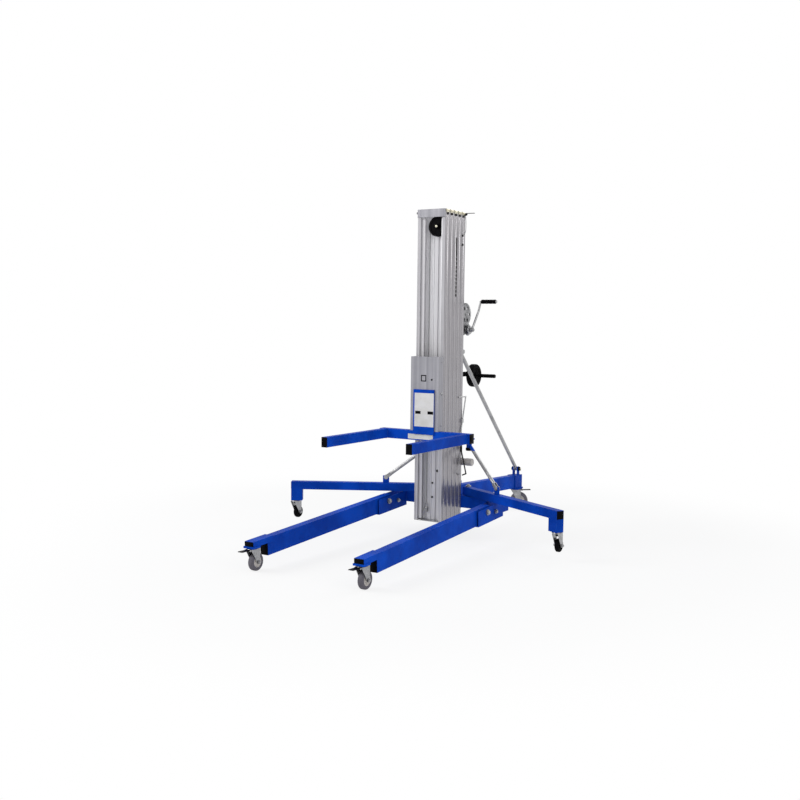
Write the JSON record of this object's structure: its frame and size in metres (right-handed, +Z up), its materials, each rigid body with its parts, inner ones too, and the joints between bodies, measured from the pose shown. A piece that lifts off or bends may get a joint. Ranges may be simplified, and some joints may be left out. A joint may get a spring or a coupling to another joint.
{
  "type": "material hoist",
  "caption": "Free-standing telescoping mast hoist on a folding caster base, with a hand winch behind the mast and a two-arm fork on the front carriage.",
  "frame": {"origin": "on the floor under the middle of the bounding box, beneath the front face of the mast", "axes": "+Z up the mast, -Y the way the fork points, +X to the right seen from behind the fork"},
  "size_m": [1.8708, 2.6579, 1.99],
  "materials": {
    "aluminium": "satin mill finish",
    "blue_paint": "gloss enamel",
    "zinc_steel": "zinc plated",
    "yellow_zinc": "yellow passivated zinc",
    "rope": "galvanised wire rope",
    "black_plastic": "moulded",
    "black_steel": "satin",
    "grey_rubber": "non-marking",
    "black_rubber": "worn",
    "grey_plastic": "moulded"
  },
  "bodies": {
    "base": {"base_column": "aluminium", "mast_foot": "zinc_steel", "back_plate": "blue_paint", "cross_beam": "blue_paint", "knuckle_right": "blue_paint", "knuckle_left": "blue_paint", "base_pins": "zinc_steel", "upper_ears": "blue_paint", "rear_arm": "blue_paint", "rear_bracket": "blue_paint", "rear_brace": "zinc_steel", "brace_mount": "blue_paint", "winch_frame": "zinc_steel", "hoist_rope": "rope", "loading_arm": "black_steel", "canister": "grey_plastic", "lock_rod": "yellow_zinc", "hook_rod": "black_steel"},
    "stage_2": {"column_2": "aluminium"},
    "stage_3": {"column_3": "aluminium"},
    "stage_4": {"column_4": "aluminium"},
    "stage_5": {"column_5": "aluminium", "crossplate": "aluminium", "front_rope": "rope"},
    "sheave": {"front_sheave": "black_plastic"},
    "lift": {"carriage": "aluminium", "fork_holder": "blue_paint", "fork_crossbar": "blue_paint", "fork_arm_right": "blue_paint", "fork_arm_left": "blue_paint", "fork_plugs": "black_plastic"},
    "winding": {"drum": "zinc_steel", "drum_rope": "rope", "drum_gear": "zinc_steel"},
    "crank_set": {"pinion": "zinc_steel", "crank": "zinc_steel"},
    "grip": {"crank_grip": "black_plastic"},
    "pulley": {"top_pulley": "yellow_zinc"},
    "loader": {"loading_wheel": "black_rubber"},
    "leg_right_body": {"leg_right": "blue_paint"},
    "outrigger_right_body": {"outrigger_right": "blue_paint", "strut_right": "zinc_steel"},
    "front_right_swivel": {"front_yoke_right": "zinc_steel"},
    "front_right_roll": {"front_wheel_right": "grey_rubber"},
    "front_right_brake": {"front_pedal_right": "black_plastic"},
    "side_right_swivel": {"side_yoke_right": "zinc_steel"},
    "side_right_roll": {"side_wheel_right": "black_rubber"},
    "leg_left_body": {"leg_left": "blue_paint"},
    "outrigger_left_body": {"outrigger_left": "blue_paint", "strut_left": "zinc_steel"},
    "front_left_swivel": {"front_yoke_left": "zinc_steel"},
    "front_left_roll": {"front_wheel_left": "grey_rubber"},
    "front_left_brake": {"front_pedal_left": "black_plastic"},
    "side_left_swivel": {"side_yoke_left": "zinc_steel"},
    "side_left_roll": {"side_wheel_left": "black_rubber"},
    "rear_swivel": {"rear_yoke": "zinc_steel"},
    "rear_roll": {"rear_wheel": "grey_rubber"},
    "rear_brake": {"rear_pedal": "black_plastic"}
  },
  "joints": [
    {"name": "stage_2_slide", "type": "slide", "parent": "base", "child": "stage_2", "axis": [0, 0, 1], "range_m": [0, 1.05]},
    {"name": "stage_3_slide", "type": "slide", "parent": "stage_2", "child": "stage_3", "axis": [0, 0, 1], "range_m": [0, 1.05]},
    {"name": "stage_4_slide", "type": "slide", "parent": "stage_3", "child": "stage_4", "axis": [0, 0, 1], "range_m": [0, 1.05]},
    {"name": "stage_5_slide", "type": "slide", "parent": "stage_4", "child": "stage_5", "axis": [0, 0, 1], "range_m": [0, 1.05]},
    {"name": "carriage_slide", "type": "slide", "parent": "stage_5", "child": "lift", "axis": [0, 0, 1], "range_m": [-0.34, 0.69]},
    {"name": "sheave_spin", "type": "hinge", "parent": "stage_5", "child": "sheave", "pos_m": [0.028, 0.0292, 1.888], "axis": [0, 1, 0], "continuous": true},
    {"name": "drum_spin", "type": "hinge", "parent": "base", "child": "winding", "pos_m": [0, 0.3395, 1.37], "axis": [1, 0, 0], "continuous": true},
    {"name": "crank_spin", "type": "hinge", "parent": "base", "child": "crank_set", "pos_m": [0, 0.37449, 1.27387], "axis": [1, 0, 0], "continuous": true},
    {"name": "grip_spin", "type": "hinge", "parent": "crank_set", "child": "grip", "pos_m": [0.15, 0.45732, 1.45151], "axis": [1, 0, 0], "continuous": true},
    {"name": "pulley_spin", "type": "hinge", "parent": "base", "child": "pulley", "pos_m": [0, 0.2817, 1.948], "axis": [1, 0, 0], "continuous": true},
    {"name": "loader_spin", "type": "hinge", "parent": "base", "child": "loader", "pos_m": [-0.04, 0.6595, 0.973], "axis": [1, 0, 0], "continuous": true},
    {"name": "leg_right_fold", "type": "hinge", "parent": "base", "child": "leg_right_body", "pos_m": [0.344, 0.04, 0.198], "axis": [-1, 0, 0], "range_deg": [0, 85]},
    {"name": "outrigger_right_swing", "type": "hinge", "parent": "base", "child": "outrigger_right_body", "pos_m": [0.122, 0.2975, 0.268], "axis": [0, 0, 1], "range_deg": [0, 95]},
    {"name": "front_right_swivel_spin", "type": "hinge", "parent": "leg_right_body", "child": "front_right_swivel", "pos_m": [0.344, -1.24237, 0.122], "axis": [0, 0, 1], "continuous": true},
    {"name": "front_right_wheel_spin", "type": "hinge", "parent": "front_right_swivel", "child": "front_right_roll", "pos_m": [0.344, -1.21237, 0.048], "axis": [1, 0, 0], "continuous": true},
    {"name": "front_right_pedal_press", "type": "hinge", "parent": "front_right_swivel", "child": "front_right_brake", "pos_m": [0.344, -1.27637, 0.1187], "axis": [1, 0, 0], "range_deg": [0, 12]},
    {"name": "side_right_swivel_spin", "type": "hinge", "parent": "outrigger_right_body", "child": "side_right_swivel", "pos_m": [0.90141, -0.13631, 0.166], "axis": [0, 0, 1], "continuous": true},
    {"name": "side_right_wheel_spin", "type": "hinge", "parent": "side_right_swivel", "child": "side_right_roll", "pos_m": [0.90141, -0.10631, 0.0905], "axis": [1, 0, 0], "continuous": true},
    {"name": "leg_left_fold", "type": "hinge", "parent": "base", "child": "leg_left_body", "pos_m": [-0.344, 0.04, 0.198], "axis": [-1, 0, 0], "range_deg": [0, 85]},
    {"name": "outrigger_left_swing", "type": "hinge", "parent": "base", "child": "outrigger_left_body", "pos_m": [-0.122, 0.2975, 0.268], "axis": [0, 0, -1], "range_deg": [0, 95]},
    {"name": "front_left_swivel_spin", "type": "hinge", "parent": "leg_left_body", "child": "front_left_swivel", "pos_m": [-0.344, -1.24237, 0.122], "axis": [0, 0, 1], "continuous": true},
    {"name": "front_left_wheel_spin", "type": "hinge", "parent": "front_left_swivel", "child": "front_left_roll", "pos_m": [-0.344, -1.21237, 0.048], "axis": [1, 0, 0], "continuous": true},
    {"name": "front_left_pedal_press", "type": "hinge", "parent": "front_left_swivel", "child": "front_left_brake", "pos_m": [-0.344, -1.27637, 0.1187], "axis": [1, 0, 0], "range_deg": [0, 12]},
    {"name": "side_left_swivel_spin", "type": "hinge", "parent": "outrigger_left_body", "child": "side_left_swivel", "pos_m": [-0.90141, -0.13631, 0.166], "axis": [0, 0, 1], "continuous": true},
    {"name": "side_left_wheel_spin", "type": "hinge", "parent": "side_left_swivel", "child": "side_left_roll", "pos_m": [-0.90141, -0.10631, 0.0905], "axis": [1, 0, 0], "continuous": true},
    {"name": "rear_swivel_spin", "type": "hinge", "parent": "base", "child": "rear_swivel", "pos_m": [0, 1.2495, 0.142], "axis": [0, 0, 1], "continuous": true},
    {"name": "rear_wheel_spin", "type": "hinge", "parent": "rear_swivel", "child": "rear_roll", "pos_m": [0.02571, 1.26495, 0.062], "axis": [0.515, -0.8572, 0], "continuous": true},
    {"name": "rear_pedal_press", "type": "hinge", "parent": "rear_swivel", "child": "rear_brake", "pos_m": [0.042, 1.27474, 0.1387], "axis": [-0.515, 0.8572, 0], "range_deg": [0, 12]}
  ],
  "couplings": [
    {"joint": "stage_3_slide", "follows": "stage_2_slide", "ratio": 1},
    {"joint": "stage_4_slide", "follows": "stage_2_slide", "ratio": 1},
    {"joint": "stage_5_slide", "follows": "stage_2_slide", "ratio": 1},
    {"joint": "drum_spin", "follows": "carriage_slide", "rad_per_m": 36.101},
    {"joint": "crank_spin", "follows": "carriage_slide", "rad_per_m": -72.202},
    {"joint": "pulley_spin", "follows": "carriage_slide", "rad_per_m": -40.323},
    {"joint": "sheave_spin", "follows": "carriage_slide", "rad_per_m": 18.587}
  ]
}
